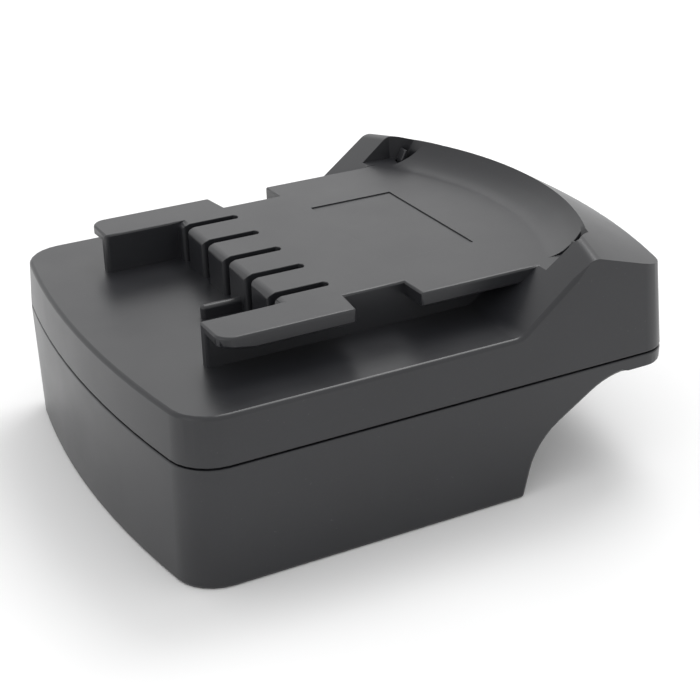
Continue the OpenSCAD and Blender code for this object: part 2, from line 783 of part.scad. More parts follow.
module capacitor() {
    groove = 0.3;
    color(charcoal)
        translate([board_x[1] - capacitor_r - 0.6, 0, board_top])
            rotate_extrude()
                polygon([[0, 0], [capacitor_r, 0], [capacitor_r, 3 * groove],
                    [capacitor_r - groove, 4 * groove], [capacitor_r, 5 * groove],
                    [capacitor_r, capacitor_h - groove], [capacitor_r - groove, capacitor_h],
                    [0, capacitor_h]]);
}

module fuse() {
    fuse_x = fork_root_x - 0.6 * fuse_size[0];
    color(nickel) {
        on_board(fuse_x, 1.5 * slot_pitch, [fuse_size[0] - 0.4, fuse_size[1] - 0.2, fuse_size[2] - 0.1]);
        for (s = [-1, 1])
            on_board(fuse_x + s * (fuse_size[0] - fuse_cap_l) / 2, 1.5 * slot_pitch,
                [fuse_cap_l, fuse_size[1], fuse_size[2]]);
    }
}

module chip_resistors() {
    color(black)
        for (i = [1:3], s = [-1, 1])
            on_board(transistor_x - 2 * resistor[0], s * resistor_pitch * i, resistor);
}

// Wires: a tube along hand-set points, six to eight sides, ends square
function wire_route(y) = [[blade_leg_x[0] + 1.75, y, blade_top_z], [blade_leg_x[0] + 1.75, y, blade_top_z + 1],
    [blade_leg_x[0] + 2.2, y, blade_top_z + 1.9], [blade_leg_x[0] + 4, y, blade_top_z + 2.5],
    [board_x[0] - 1, y, blade_top_z + 2.4], [board_x[0] + 1, y, blade_top_z + 1.7],
    [board_x[0] + 1.6, y, blade_top_z + 0.4], [board_x[0] + 1.6, y, board_top]];

module wire(y, d) {
    route = wire_route(y);
    loft(tube_rings(route, [for (p = route) [0, 1, 0]], d / 2, 8));
}

// Latch: a sprung bar with two teeth, driven down by wedges on the release button
module latch_bar() {
    color(charcoal)
        difference() {
            union() {
                block(bar_x, [-bar_half_w, bar_half_w], [bar_z, bar_top_z]);
                both_sides()
                    translate([0, (tooth_y[0] + tooth_y[1]) / 2, 0])
                        across([[tooth_x[0], bar_z + 1], [tooth_x[1], bar_z + 1],
                            [tooth_x[1], pocket_floor_z + tooth_h],
                            [tooth_x[1] - tooth_land, pocket_floor_z + tooth_h],
                            [tooth_x[0], pocket_floor_z + 0.4]], (tooth_y[1] - tooth_y[0]) / 2);
                both_sides()
                    translate([0, wedge_y, 0])
                        across([[bar_x[1] - eps, bar_z], [wedge_x, bar_z],
                            [bar_x[1] - eps, bar_z + wedge_x - bar_x[1] + eps]], wedge_w / 2);
            }
            both_sides()
                translate([spring_x, spring_y, 0])
                    rod(spring_d / 2 + slide_gap, bar_z - 1, bar_z + spring_socket);
        }
}

// The button pad is trimmed to the rear wall's curve and hollowed for a fingertip
module release_button() {
    gap = slide_gap * sqrt(2);
    arm_x = bar_x[1] + gap;
    color(black)
        union() {
            difference() {
                intersection() {
                    case_block([seam_z, top_z]);
                    block([button_flange_x - eps, reach], [-button_w / 2, button_w / 2], button_z);
                }
                translate([rear_x + dish_r - dish_depth, 0, button_mid_z])
                    rotate([90, 0, 0])
                        cylinder(r = dish_r, h = button_w - 4, center = true, $fn = 96);
            }
            block([button_flange_x - button_flange_t, button_flange_x],
                [-button_w / 2 - button_rim, button_w / 2 + button_rim],
                [button_z[0] - button_rim, button_z[1] + button_rim]);
            both_sides()
                translate([0, wedge_y, 0])
                    across([[button_flange_x - button_flange_t / 2, bar_z + 0.4],
                        [wedge_x + gap - 0.4, bar_z + 0.4],
                        [arm_x, bar_z + wedge_x + gap - arm_x], [arm_x, bar_top_z],
                        [button_flange_x - button_flange_t / 2, bar_top_z]], wedge_w / 2 - slide_gap);
        }
}

// A coil spring as one tube between the retainer and the bar's sockets
spring_rings = 8;
spring_sides = 6;
spring_radius = (spring_d - spring_wire) / 2;
spring_pitch = (spring_l + spring_socket - 2 * spring_end_gap - spring_wire) / spring_turns;
function spring_point(i) = let (a = 360 * i / spring_rings, rise = spring_pitch * i / spring_rings)
    [spring_radius * cos(a), spring_radius * sin(a), spring_foot_z + spring_end_gap + spring_wire / 2 + rise];

module latch_spring(side) {
    route = [for (i = [0:spring_turns * spring_rings]) spring_point(i)];
    color(steel)
        translate([spring_x, side * spring_y, 0])
            loft(tube_rings(route, [for (p = route) [p[0], p[1], 0]], spring_wire / 2, spring_sides));
}

least_spring_gap = min([for (i = [0:spring_turns * spring_rings], j = [0:spring_turns * spring_rings])
    if (j - i >= spring_rings / 2) norm(spring_point(i) - spring_point(j))]) - spring_wire;
echo(least_spring_gap = least_spring_gap);

module latch_retainer() {
    color(black)
        difference() {
            union() {
                block(retainer_x, [-retainer_half_w, retainer_half_w], [retainer_z, retainer_z + retainer_t]);
                both_sides()
                    translate([spring_x, spring_y, 0])
                        rod(spring_peg_r, retainer_z + 1, spring_foot_z + spring_peg_h);
            }
            at_points(retainer_points) {
                rod(small_screw[0] + 2 * fit_gap, retainer_z - 1, retainer_z + retainer_t + 1);
                rod(small_screw[1] + 2 * fit_gap, retainer_z - 1, retainer_z + small_screw[2] + 0.1);
            }
        }
}

// Screws: a domed head with a cross recess on a plain shank; dir is 1 when the shank points up
module screw(kind, seat_z, length, dir) {
    color(steel)
        translate([0, 0, seat_z])
            mirror([0, 0, dir > 0 ? 0 : 1])
                difference() {
                    union() {
                        rod(kind[0], 0, length);
                        rotate_extrude()
                            polygon(concat([[0, 0], [kind[1], 0]],
                                [for (i = [0:4]) let (a = 18 * i)
                                    [kind[1] - kind[2] * 0.4 * (1 - cos(a)), -kind[2] * (0.6 + 0.4 * sin(a))]],
                                [[0, -kind[2]]]));
                    }
                    for (turn = [0, 90])
                        rotate([0, 0, turn])
                            block([-kind[1] * 0.6, kind[1] * 0.6], [-kind[1] * 0.11, kind[1] * 0.11],
                                [-kind[2] - 1, -kind[2] * 0.45]);
                }
}

module case_screws() {
    for (p = all_case_points)
        translate([p[0], p[1], 0])
            screw(case_screw, p[4], case_screw_l, 1);
}

module board_screws() {
    at_points(board_points)
        screw(small_screw, board_top, board_top - ceiling_z - 1, -1);
}

module carrier_screws() {
    at_points(carrier_points)
        screw(small_screw, carrier_z, carrier_screw_l, 1);
}

module terminal_screws() {
    at_points(terminal_points)
        screw(small_screw, floor_z, terminal_screw_l, -1);
}

module retainer_screws() {
    at_points(retainer_points)
        screw(small_screw, retainer_z + small_screw[2] + 0.1, retainer_screw_l - small_screw[2], 1);
}

module tool_contact_1() {
    tool_contact(0);
}

module tool_contact_2() {
    tool_contact(1);
}

module tool_contact_3() {
    tool_contact(2);
}

module tool_contact_4() {
    tool_contact(3);
}

module tool_contact_5() {
    tool_contact(4);
}

module battery_blade_positive() {
    blade(-power_blade_y);
}

module battery_blade_negative() {
    blade(power_blade_y);
}

module battery_blade_signal_1() {
    blade(-signal_blade_y);
}

module battery_blade_signal_2() {
    blade(signal_blade_y);
}

module wire_positive() {
    color("firebrick")
        wire(-power_blade_y, power_wire_d);
}

module wire_negative() {
    color(black)
        wire(power_blade_y, power_wire_d);
}

module wire_signal_1() {
    color("goldenrod")
        wire(-signal_blade_y, signal_wire_d);
}

module wire_signal_2() {
    color("white")
        wire(signal_blade_y, signal_wire_d);
}

module latch_spring_left() {
    latch_spring(1);
}

module latch_spring_right() {
    latch_spring(-1);
}

upper_shell();
lower_shell();
contact_carrier();
tool_contact_1();
tool_contact_2();
tool_contact_3();
tool_contact_4();
tool_contact_5();
terminal_block();
battery_blade_positive();
battery_blade_negative();
battery_blade_signal_1();
battery_blade_signal_2();
circuit_board();
power_transistors();
control_chip();
capacitor();
fuse();
chip_resistors();
wire_positive();
wire_negative();
wire_signal_1();
wire_signal_2();
latch_bar();
release_button();
latch_spring_left();
latch_spring_right();
latch_retainer();
case_screws();
board_screws();
carrier_screws();
terminal_screws();
retainer_screws();
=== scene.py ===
import math

import bmesh
import bpy
from mathutils import Matrix, Vector
from mathutils.geometry import intersect_line_line_2d, intersect_point_line


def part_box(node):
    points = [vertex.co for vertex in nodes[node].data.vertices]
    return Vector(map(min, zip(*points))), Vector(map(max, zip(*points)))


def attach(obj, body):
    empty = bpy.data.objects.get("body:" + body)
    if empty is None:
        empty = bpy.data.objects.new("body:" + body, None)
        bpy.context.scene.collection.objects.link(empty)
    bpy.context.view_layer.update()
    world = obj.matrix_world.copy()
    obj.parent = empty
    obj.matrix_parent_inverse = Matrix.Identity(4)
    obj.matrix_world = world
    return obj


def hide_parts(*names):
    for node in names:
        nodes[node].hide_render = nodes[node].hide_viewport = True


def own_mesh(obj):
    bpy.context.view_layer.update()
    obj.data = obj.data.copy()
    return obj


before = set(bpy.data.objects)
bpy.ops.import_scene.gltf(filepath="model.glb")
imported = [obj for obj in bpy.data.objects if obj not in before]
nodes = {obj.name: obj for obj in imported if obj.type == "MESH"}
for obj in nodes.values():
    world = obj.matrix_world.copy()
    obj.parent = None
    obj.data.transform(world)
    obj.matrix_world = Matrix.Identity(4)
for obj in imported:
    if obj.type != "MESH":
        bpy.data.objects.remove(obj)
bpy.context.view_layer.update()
MM = 0.001

# Lower shell: the battery socket, a drafted tub injection moulded in charcoal glass-filled nylon.
# Every outer arris carries a small mould radius and the skin is fine spark-eroded satin.
# Six screws driven up from inside the socket clamp it to the upper shell.


class Socket:
    """An output socket that adds nodes to its tree as it is used in arithmetic."""

    def __init__(self, tree, out):
        self.tree = tree
        self.out = out

    def node(self, kind, out=0, set=None, **inputs):
        """Adds a node; inputs are named by label, with _ for a space, or by place as i0, i1 and so on."""
        made = self.tree.nodes.new(kind)
        for name, value in (set or {}).items():
            setattr(made, name, value)
        for name, value in inputs.items():
            socket = made.inputs[int(name[1:]) if name[0] == "i" and name[1:].isdigit() else name.replace("_", " ")]
            if isinstance(value, Socket):
                self.tree.links.new(value.out, socket)
            else:
                socket.default_value = value
        return Socket(self.tree, made.outputs[out])

    def math(self, operation, *values):
        return self.node("ShaderNodeMath", set={"operation": operation}, **{f"i{i}": v for i, v in enumerate(values)})

    def __add__(self, other):
        return self.math("ADD", self, other)

    def __radd__(self, other):
        return self.math("ADD", other, self)

    def __sub__(self, other):
        return self.math("SUBTRACT", self, other)

    def __rsub__(self, other):
        return self.math("SUBTRACT", other, self)

    def __mul__(self, other):
        return self.math("MULTIPLY", self, other)

    def __rmul__(self, other):
        return self.math("MULTIPLY", other, self)

    def __truediv__(self, other):
        return self.math("DIVIDE", self, other)

    def __rtruediv__(self, other):
        return self.math("DIVIDE", other, self)

    def __gt__(self, other):
        return self.math("GREATER_THAN", self, other)

    def __lt__(self, other):
        return self.math("LESS_THAN", self, other)

    def __abs__(self):
        return self.math("ABSOLUTE", self)

    def ramp(self, low, high):
        """0 at low, 1 at high and straight between."""
        return self.node("ShaderNodeMapRange", i0=self, i1=low, i2=high)

    def between(self, a, b):
        """Colour a where this is 0 and colour b where it is 1."""
        return self.node("ShaderNodeMix", out=2, set={"data_type": "RGBA"}, i0=self, i6=a, i7=b)

    def noise(self, scale, detail=2.0, rough=0.5):
        return self.node("ShaderNodeTexNoise", Vector=self, Scale=scale, Detail=detail, Roughness=rough)

    def stretched(self, x, y, z):
        return self.node("ShaderNodeMapping", Vector=self, Scale=(x, y, z))

    def axis(self, place):
        return self.node("ShaderNodeSeparateXYZ", out=place, Vector=self)

    def bumped(self, strength, distance):
        return self.node("ShaderNodeBump", Strength=strength, Distance=distance, Height=self)


def new_material(name):
    """A node material with its object coordinates as a Socket and its Principled node."""
    material = bpy.data.materials.new(name)
    material.use_nodes = True
    tree = material.node_tree
    shader = tree.nodes["Principled BSDF"]
    coords = tree.nodes.new("ShaderNodeTexCoord")
    return material, Socket(tree, coords.outputs["Object"]), shader


def feed(shader, **values):
    """Sets or links the shader's inputs by name."""
    for name, value in values.items():
        socket = shader.inputs[name.replace("_", " ")]
        if isinstance(value, Socket):
            value.tree.links.new(value.out, socket)
        else:
            socket.default_value = value


def shades(colour, spread):
    """A darker and a lighter shade of a colour."""
    return [c * (1 - spread) for c in colour] + [1.0], [c * (1 + spread) for c in colour] + [1.0]


def moulded_plastic(name, colour, rough, grain=0.25):
    """Satin moulded plastic: fine eroded grain in the bump, slow flow mottling in tone and gloss, faint dust."""
    material, at, shader = new_material(name)
    flow = at.noise(90.0, 3.0, 0.55).ramp(0.3, 0.7)
    speck = at.noise(2600.0, 2.0, 0.6)
    tone = flow * 0.6 + speck.ramp(0.35, 0.65) * 0.4
    dust = at.noise(2300.0, 1.0, 0.4).ramp(0.76, 0.80)
    grainy = at.noise(5200.0, 3.0, 0.6) * 0.7 + speck * 0.3
    dusty = [c + 0.05 for c in colour] + [1.0]
    feed(shader, Base_Color=(dust * 0.4).between(tone.between(*shades(colour, 0.12)), dusty),
         Roughness=rough - 0.04 + flow * 0.05 + speck * 0.03, Normal=grainy.bumped(grain, 0.03 * MM))
    return material


def finished(obj, material, body, cad_node):
    """Gives a piece its material and its body, and hides the CAD node that it stands for."""
    obj.data.materials.clear()
    obj.data.materials.append(material)
    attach(obj, body)
    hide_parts(cad_node)
    return obj


def converted(obj):
    """Turns a piece's modifiers into plain mesh."""
    graph = bpy.context.evaluated_depsgraph_get()
    shaped = bpy.data.meshes.new_from_object(obj.evaluated_get(graph), preserve_all_data_layers=True, depsgraph=graph)
    obj.modifiers.clear()
    obj.data = shaped
    return obj


def new_object(name, mesh):
    obj = bpy.data.objects.new(name, mesh)
    bpy.context.scene.collection.objects.link(obj)
    return obj


# What counts as an arris, a straight run, a thin point, a near-flat edge and one plane
SHARP = math.radians(24)
STRAIGHT = math.radians(150)
THIN = math.radians(22)
FLAT = math.radians(8)
COPLANAR = math.radians(0.15)
NO_ANGLE = 9.0
SLIVER_ROUNDS = 4
# Corners closer than this, or than this share of the radius, are one corner
SAME_POINT = 2e-6
MERGE_SHARE = 0.03
# How far a rounding may reach, how fast it may widen and how much of a face it may take
ROUND_SEGMENTS = 3
LONGEST_REACH = 3.0
STEP_SHARE = 0.25
LEAST_TURN = 0.02
SPLIT_TURN = math.radians(0.1)
END_STRETCH = 3.0 * MM
LONG_EDGE = 4 * END_STRETCH
ROUNDING_SHARE = 0.42
LEAST_ROUNDING = 0.03 * MM
FIT_ROUNDS = 12
# What counts as a folded triangle, and how far from it the edges are left sharp
FOLD_AREA = 5e-9
FOLD_DOT = 0.3
TIGHT_REACH = 0.8 * MM
TRIES = 8


def room_beside(loop):
    """How far a face reaches square to one of its edges, before it meets another of its edges."""
    start = loop.vert.co
    along = loop.link_loop_next.vert.co - start
    ahead = along.normalized()
    inward = loop.face.normal.cross(ahead)
    flat = [((v.co - start).dot(ahead), (v.co - start).dot(inward)) for v in loop.face.verts]
    least = 1.0
    for share in (0.2, 0.5, 0.8):
        at = share * along.length
        for (x0, y0), (x1, y1) in zip(flat, flat[1:] + flat[:1]):
            if (x0 - at) * (x1 - at) < 0:
                y = y0 + (y1 - y0) * (at - x0) / (x1 - x0)
                if y > 1e-6:
                    least = min(least, y)
    return least


def turn_at(vert, ends):
    """How far a line of two edges turns at the corner they share."""
    ways = [(e.other_vert(vert).co - vert.co).normalized() for e in ends]
    return math.pi - ways[0].angle(ways[1])


def clear_slivers(bm):
    """Joins the near-flat faces that meet a sharp edge in a thin point, which no rounding could turn."""
    for _ in range(SLIVER_ROUNDS):
        thin = {}  # a dict keeps the order of the edges, so that each run joins them alike
        for edge in bm.edges:
            if len(edge.link_faces) != 2 or edge.calc_face_angle(0.0) < SHARP:
                continue
            for loop in edge.link_loops:
                following = loop.link_loop_next
                for corner, beside in ((loop, loop.link_loop_prev.edge), (following, following.edge)):
                    near_flat = len(beside.link_faces) == 2 and beside.calc_face_angle(NO_ANGLE) < FLAT
                    if near_flat and corner.calc_angle() < THIN:
                        thin[beside] = True
        if not thin:
            return
        bmesh.ops.dissolve_edges(bm, edges=list(thin), use_verts=False)
        bm.normal_update()


def split_long_edges(bm):
    """Splits long sharp edges near their ends, so that a tight corner narrows only the last stretch."""
    for edge in list(bm.edges):
        length = edge.calc_length()
        if len(edge.link_faces) == 2 and edge.calc_face_angle_signed(0.0) > SHARP and length > LONG_EDGE:
            start, end = edge.verts
            _, near = bmesh.utils.edge_split(edge, start, END_STRETCH / length)
            rest = bm.edges.get((near, end))
            bmesh.utils.edge_split(rest, end, END_STRETCH / rest.calc_length())


def fit_roundings(bm, widths):
    """Narrows roundings that would run past the end of an edge beside them, or step along a line of edges."""
    for _ in range(FIT_ROUNDS):
        for face in bm.faces:
            for loop in face.loops:
                a, b = loop.link_loop_prev.edge, loop.edge
                wa, wb = widths.get(a, 0.0), widths.get(b, 0.0)
                if not (wa or wb) or not loop.is_convex:
                    continue
                angle = loop.calc_angle()
                if angle > STRAIGHT:
                    continue
                along_b = (wa + wb * math.cos(angle)) / math.sin(angle) if wa else 0.0
                along_a = (wb + wa * math.cos(angle)) / math.sin(angle) if wb else 0.0
                if max(along_a, along_b) > LONGEST_REACH * max(wa, wb):
                    widths.pop(min((e for e in (a, b) if e in widths), key=lambda e: e.calc_length()))
                    continue
                fit = 1.0
                if along_b > ROUNDING_SHARE * b.calc_length():
                    fit = min(fit, ROUNDING_SHARE * b.calc_length() / along_b)
                if along_a > ROUNDING_SHARE * a.calc_length():
                    fit = min(fit, ROUNDING_SHARE * a.calc_length() / along_a)
                for edge in (a, b):
                    if edge in widths:
                        widths[edge] *= fit
        for vert in bm.verts:
            ends = [e for e in vert.link_edges if e in widths]
            if len(ends) == 2:
                turn = turn_at(vert, ends)
                if SPLIT_TURN < turn < math.pi - STRAIGHT:
                    step = STEP_SHARE * min(e.calc_length() for e in ends) * max(math.sin(turn), LEAST_TURN)
                    for one, other in (ends, ends[::-1]):
                        widths[one] = min(widths[one], widths[other] + step)


def crossings(mesh):
    """The places where a face's outline crosses itself, as it does where two roundings have run into each other."""
    mesh.calc_loop_triangles()
    folded = {}
    for triangle in mesh.loop_triangles:
        face = mesh.polygons[triangle.polygon_index]
        if triangle.area > FOLD_AREA and triangle.normal.dot(face.normal) < FOLD_DOT:
            folded.setdefault(triangle.polygon_index, []).extend(triangle.vertices)
    places = []
    for index, corners_of_folds in folded.items():
        face = mesh.polygons[index]
        corners = [mesh.vertices[i].co.copy() for i in face.vertices]
        across = face.normal.orthogonal().normalized()
        beside = face.normal.cross(across)
        flat = [Vector((c.dot(across), c.dot(beside))) for c in corners]
        count = len(flat)
        found = []
        for i in range(count - 2):
            for j in range(i + 2, count - (i == 0)):
                met = intersect_line_line_2d(flat[i], flat[i + 1], flat[j], flat[(j + 1) % count])
                if met:
                    along = (met - flat[i]).length / max((flat[i + 1] - flat[i]).length, 1e-9)
                    found.append(corners[i].lerp(corners[i + 1], along))
        places += found or [mesh.vertices[i].co.copy() for i in corners_of_folds]
    return places


def softened(cad_node, radius=0.0, share_at=None):
    """A rounded copy of a CAD node, made again with the tight places left sharp until no face is folded."""
    tight = []
    for tries_left in reversed(range(TRIES)):
        obj = rounded(cad_node, radius, share_at, tight)
        found = crossings(obj.data) if radius > 0 else []
        if not found or not tries_left:
            return obj
        tight += found
        bpy.data.objects.remove(obj)


def near_any(places, edge):
    """Whether an edge passes close to one of some places."""
    start, end = (v.co for v in edge.verts)
    for place in places:
        _, along = intersect_point_line(place, start, end)
        nearest = start.lerp(end, min(max(along, 0.0), 1.0))
        if (nearest - place).length < TIGHT_REACH:
            return True
    return False


def rounded(cad_node, radius, share_at, tight):
    """A copy of a CAD node with its flat faces joined up and its outer edges rounded as far as there is room.
    share_at(middle in mm) gives an edge's share of the radius."""
    mesh = nodes[cad_node].data.copy()
    bm = bmesh.new()
    bm.from_mesh(mesh)
    closest = max(SAME_POINT, MERGE_SHARE * radius)
    bmesh.ops.remove_doubles(bm, verts=bm.verts, dist=closest)
    bmesh.ops.dissolve_degenerate(bm, edges=bm.edges, dist=closest / 2)
    bmesh.ops.dissolve_limit(bm, angle_limit=COPLANAR, verts=bm.verts, edges=bm.edges)
    bm.normal_update()
    clear_slivers(bm)
    if radius > 0:
        split_long_edges(bm)
    weights = bm.edges.layers.float.new("bevel_weight_edge")
    widths = {}
    for edge in bm.edges:
        edge.smooth = True
        if len(edge.link_faces) != 2:
            continue
        angle = edge.calc_face_angle_signed(0.0)
        if abs(angle) < SHARP:
            continue
        edge.smooth = False
        if angle > 0 and radius > 0:
            middle = (edge.verts[0].co + edge.verts[1].co) / 2
            share = share_at(middle / MM) if share_at else 1.0
            if share > 0 and not near_any(tight, edge):
                room = min(room_beside(loop) for loop in edge.link_loops)
                widths[edge] = min(share * radius, ROUNDING_SHARE * room)
    fit_roundings(bm, widths)
    for edge, width in widths.items():
        edge[weights] = width / radius if width > LEAST_ROUNDING else 0.0
    for face in bm.faces:
        face.smooth = True
    bm.to_mesh(mesh)
    bm.free()
    obj = new_object(cad_node + "_skin", mesh)
    if radius > 0:
        bevel = obj.modifiers.new("round", "BEVEL")
        bevel.limit_method = "WEIGHT"
        bevel.width = radius
        bevel.segments = ROUND_SEGMENTS
        bevel.use_clamp_overlap = False
    level = obj.modifiers.new("level", "WEIGHTED_NORMAL")
    level.keep_sharp = True
    level.weight = 100
    return converted(obj)


case_plastic = moulded_plastic("case_plastic", (0.0160, 0.0165, 0.0190), 0.33)
SEAM_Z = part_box("upper_shell")[0].z / MM
SOCKET_CEILING_Z = 16.5
LOWER_BAND = 0.3
INSIDE_HALF_W = 34
INSIDE_REAR_X = 30


def lower_share(p):
    """The share of the radius: less at the seam, none on the hidden side of the socket's ceiling."""
    if p.z > SEAM_Z - LOWER_BAND:
        return 0.35
    if p.z > SOCKET_CEILING_Z + LOWER_BAND and abs(p.y) < INSIDE_HALF_W and p.x < INSIDE_REAR_X:
        return 0.0
    return 1.0


finished(softened("lower_shell", 0.6 * MM, lower_share), case_plastic, "case", "lower_shell")

# Terminal block: a plain black moulding hung from the socket ceiling that holds the battery side's
# four blades; its neck passes up through the ceiling and two screws from above draw it tight.
inner_plastic = moulded_plastic("inner_plastic", (0.012, 0.012, 0.013), 0.48, 0.2)
finished(softened("terminal_block", 0.4 * MM), inner_plastic, "case", "terminal_block")

# Battery blades: four nickel-plated strips pressed up through the terminal block, their tips bevelled
# so that the battery's contacts ride on; faint drawing lines run along the strip.
contact_metal, metal_at, metal_shader = new_material("contact_metal")
drawn = metal_at.stretched(60.0, 1500.0, 1500.0).noise(1.0, 3.0, 0.6)
tarnish = metal_at.noise(260.0, 3.0, 0.55).ramp(0.4, 0.75)
feed(metal_shader, Metallic=1.0, Roughness=0.2 + drawn * 0.12 + tarnish * 0.08,
     Base_Color=tarnish.between((0.66, 0.64, 0.60, 1.0), (0.55, 0.52, 0.47, 1.0)),
     Normal=drawn.bumped(0.12, 0.02 * MM))
WIRE_ENDS = ("positive", "negative", "signal_1", "signal_2")
for end in WIRE_ENDS:
    node = "battery_blade_" + end
    finished(softened(node, 0.2 * MM), contact_metal, "case", node)

# Circuit board: glass-epoxy laminate with green solder mask over etched copper, its sawn edges bare,
# held on the lower shell's posts by four screws.
laminate, board_at, board_shader = new_material("board_laminate")
board_lo, board_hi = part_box("circuit_board")
board_height = board_at.axis(2)
MASK_T = 0.06 * MM
bare = (board_height > board_lo.z + MASK_T) * (board_height < board_hi.z - MASK_T)
trace = board_at.node("ShaderNodeTexBrick", out=1, Vector=board_at, Scale=200.0, Mortar_Size=0.05,
                      Mortar_Smooth=0.1, Brick_Width=1.1, Row_Height=0.45)
weave = board_at.noise(700.0, 2.0, 0.5)
mask = trace.between((0.008, 0.065, 0.030, 1.0), (0.022, 0.135, 0.062, 1.0))
feed(board_shader, Base_Color=bare.between(mask, (0.36, 0.31, 0.16, 1.0)), Roughness=0.3 + bare * 0.4 + weave * 0.06,
     Normal=(trace + weave * 0.1).bumped(0.3, 0.04 * MM))
finished(softened("circuit_board"), laminate, "case", "circuit_board")

# Board components: moulded epoxy packages with tinned tabs, legs and end caps soldered to the board,
# the fuse with a ceramic body and the capacitor a sleeved can with a bare scored top.


def package(cad_node, tinned, body=(0.014, 0.014, 0.015), rough=0.5):
    """A component in one piece, with tin where the mask tinned(coordinates) is 1."""
    material, at, shader = new_material(cad_node)
    metal = tinned(at)
    grain = at.noise(1800.0, 2.0, 0.6)
    feed(shader, Base_Color=metal.between(grain.between(*shades(body, 0.25)), (0.62, 0.61, 0.59, 1.0)), Metallic=metal,
         Roughness=rough - metal * 0.22 + grain * 0.08, Normal=grain.bumped(0.2, 0.02 * MM))
    finished(softened(cad_node, 0.12 * MM), material, "case", cad_node)
    return shader


def middle_of(cad_node, axis):
    lo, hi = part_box(cad_node)
    return (lo[axis] + hi[axis]) / 2


TAB_L = 2.4 * MM
CHIP_HALF_W = 1.97 * MM
RESISTOR_BODY = 0.5 * MM
FUSE_BODY = 1.85 * MM
package("power_transistors", lambda at: at.axis(0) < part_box("power_transistors")[0].x + TAB_L)
package("control_chip", lambda at: abs(at.axis(1)) > CHIP_HALF_W)
package("chip_resistors",
        lambda at: abs(at.axis(0) - middle_of("chip_resistors", 0)) > RESISTOR_BODY)
package("fuse", lambda at: abs(at.axis(0) - middle_of("fuse", 0)) > FUSE_BODY,
        (0.62, 0.60, 0.55), 0.45)

can_lo, can_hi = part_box("capacitor")
can, can_at, can_shader = new_material("capacitor")
can_x = can_at.axis(0) - middle_of("capacitor", 0)
can_y = can_at.axis(1)
CAN_CRIMP = 0.36 * MM
CAN_SCORE = 0.18 * MM
CAN_STRIPE = 0.28 * (can_hi.x - can_lo.x)
can_top = can_at.axis(2) > can_hi.z - CAN_CRIMP
scored = can_top * can_x.math("MAXIMUM", abs(can_x) < CAN_SCORE, abs(can_y) < CAN_SCORE)
stripe = can_x < -CAN_STRIPE
sleeve = stripe.between((0.012, 0.014, 0.022, 1.0), (0.42, 0.43, 0.45, 1.0))
feed(can_shader, Base_Color=can_top.between(sleeve, (0.70, 0.70, 0.70, 1.0)), Metallic=can_top,
     Roughness=0.32 + can_at.noise(900.0) * 0.08, Normal=(1.0 - scored).bumped(0.5, 0.1 * MM))
finished(softened("capacitor", 0.15 * MM), can, "case", "capacitor")

# Wires: four short lengths of PVC-insulated hook-up wire soldered between the blade tops and the
# board's front edge, fixed at both ends and bent by hand over the terminal screws.


def shape_tree(name, *inputs):
    """A Geometry Nodes tree with a geometry in and out and the named inputs, which it returns as Sockets."""
    tree = bpy.data.node_groups.new(name, "GeometryNodeTree")
    tree.interface.new_socket("Geometry", in_out="OUTPUT", socket_type="NodeSocketGeometry")
    for label, kind in (("Geometry", "Geometry"), *inputs, ("Material", "Material")):
        tree.interface.new_socket(label, in_out="INPUT", socket_type="NodeSocket" + kind)
    entry = tree.nodes.new("NodeGroupInput")
    return tree, {s.name: Socket(tree, s) for s in entry.outputs if s.name}


def end_tree(tree, shape, material):
    """Ends a tree: smooth, real geometry in one material."""
    smooth = shape.node("GeometryNodeSetShadeSmooth", i0=shape)
    real = shape.node("GeometryNodeRealizeInstances", i0=smooth)
    painted = shape.node("GeometryNodeSetMaterial", Geometry=real, Material=material)
    tree.links.new(painted.out, tree.nodes.new("NodeGroupOutput").inputs[0])


def grown(name, points, edges, tree, **values):
    """A piece that a tree grows from some points and edges, as plain mesh."""
    mesh = bpy.data.meshes.new(name)
    mesh.from_pydata(points, edges, [])
    obj = new_object(name, mesh)
    modifier = obj.modifiers.new(tree.name, "NODES")
    modifier.node_group = tree
    for item in tree.interface.items_tree:
        if item.item_type == "SOCKET" and item.in_out == "INPUT" and item.name.replace(" ", "_") in values:
            modifier[item.identifier] = values[item.name.replace(" ", "_")]
    return converted(obj)


wire_tree, given = shape_tree("wire", ("Radius", "Float"), ("Bend", "Float"))
run = given["Geometry"].node("GeometryNodeMeshToCurve", Mesh=given["Geometry"])
bent = run.node("GeometryNodeFilletCurve", set={"mode": "POLY"}, Curve=run, Count=8, Radius=given["Bend"],
                Limit_Radius=True)
ring = run.node("GeometryNodeCurvePrimitiveCircle", Resolution=20, Radius=given["Radius"])
end_tree(wire_tree, run.node("GeometryNodeCurveToMesh", Curve=bent, Profile_Curve=ring, Fill_Caps=True),
         given["Material"])

WIRE_COLOURS = {"positive": ("wire_red", (0.42, 0.018, 0.015)), "negative": ("wire_black", (0.012, 0.012, 0.012)),
                "signal_1": ("wire_yellow", (0.62, 0.42, 0.025)), "signal_2": ("wire_white", (0.62, 0.61, 0.58))}
WIRE_BEND = 1.9 * MM
for end in WIRE_ENDS:
    slot, colour = WIRE_COLOURS[end]
    lo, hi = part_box("wire_" + end)
    r = (hi.y - lo.y) / 2
    y = (hi.y + lo.y) / 2
    blade_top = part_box("battery_blade_" + end)[1].z
    route = [(lo.x + r, y, blade_top), (lo.x + r, y, hi.z - r), (hi.x - r, y, hi.z - r), (hi.x - r, y, lo.z)]
    pvc = moulded_plastic(slot, colour, 0.34, 0.1)
    wire = grown("wire_" + end + "_skin", route, [(0, 1), (1, 2), (2, 3)], wire_tree, Radius=r, Bend=WIRE_BEND,
                 Material=pvc)
    finished(wire, pvc, "case", "wire_" + end)

